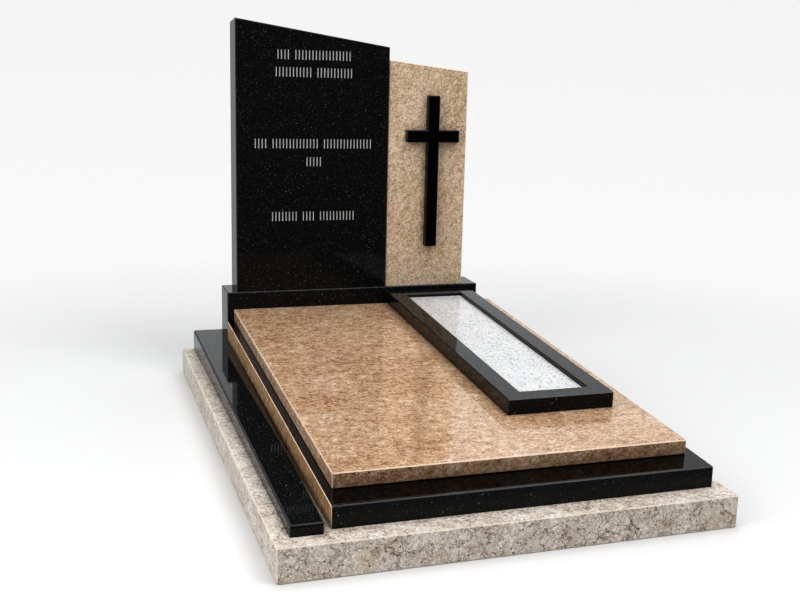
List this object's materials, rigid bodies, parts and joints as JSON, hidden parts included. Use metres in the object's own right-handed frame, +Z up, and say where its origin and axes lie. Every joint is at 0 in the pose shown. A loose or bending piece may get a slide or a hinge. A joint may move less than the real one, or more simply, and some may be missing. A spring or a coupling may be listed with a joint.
{
  "type": "granite grave monument with latin cross",
  "caption": "Full-length polished granite grave monument: base slab, kerbs, sloping ledger with a framed white bed, and a two-part headstone bearing a Latin cross.",
  "frame": {"origin": "on the ground, under the middle of the base slab", "axes": "+X to the right as seen from the foot of the grave, +Y back towards the headstone, +Z up"},
  "size_m": [1.2, 1.78, 1.2666],
  "materials": {
    "beige_granite": "polished beige granite with thin brown veins",
    "black_granite": "mirror polished black granite with fine pale specks",
    "tan_granite": "polished tan granite with streaky brown and pink grain",
    "pale_tan_granite": "polished pale tan granite with fine dark flecks",
    "white_granite": "white granite with fine grey specks"
  },
  "bodies": {
    "root": {"base_slab": "beige_granite", "low_side_kerb": "black_granite", "tan_side_plate": "tan_granite", "front_plate": "black_granite", "right_plate": "black_granite", "shelf_slab": "black_granite", "ledger": "tan_granite", "bed_frame": "black_granite", "bed_infill": "white_granite", "headstone_plinth": "black_granite", "dark_stele": "black_granite", "tan_stele": "pale_tan_granite", "latin_cross": "black_granite"}
  },
  "joints": []
}
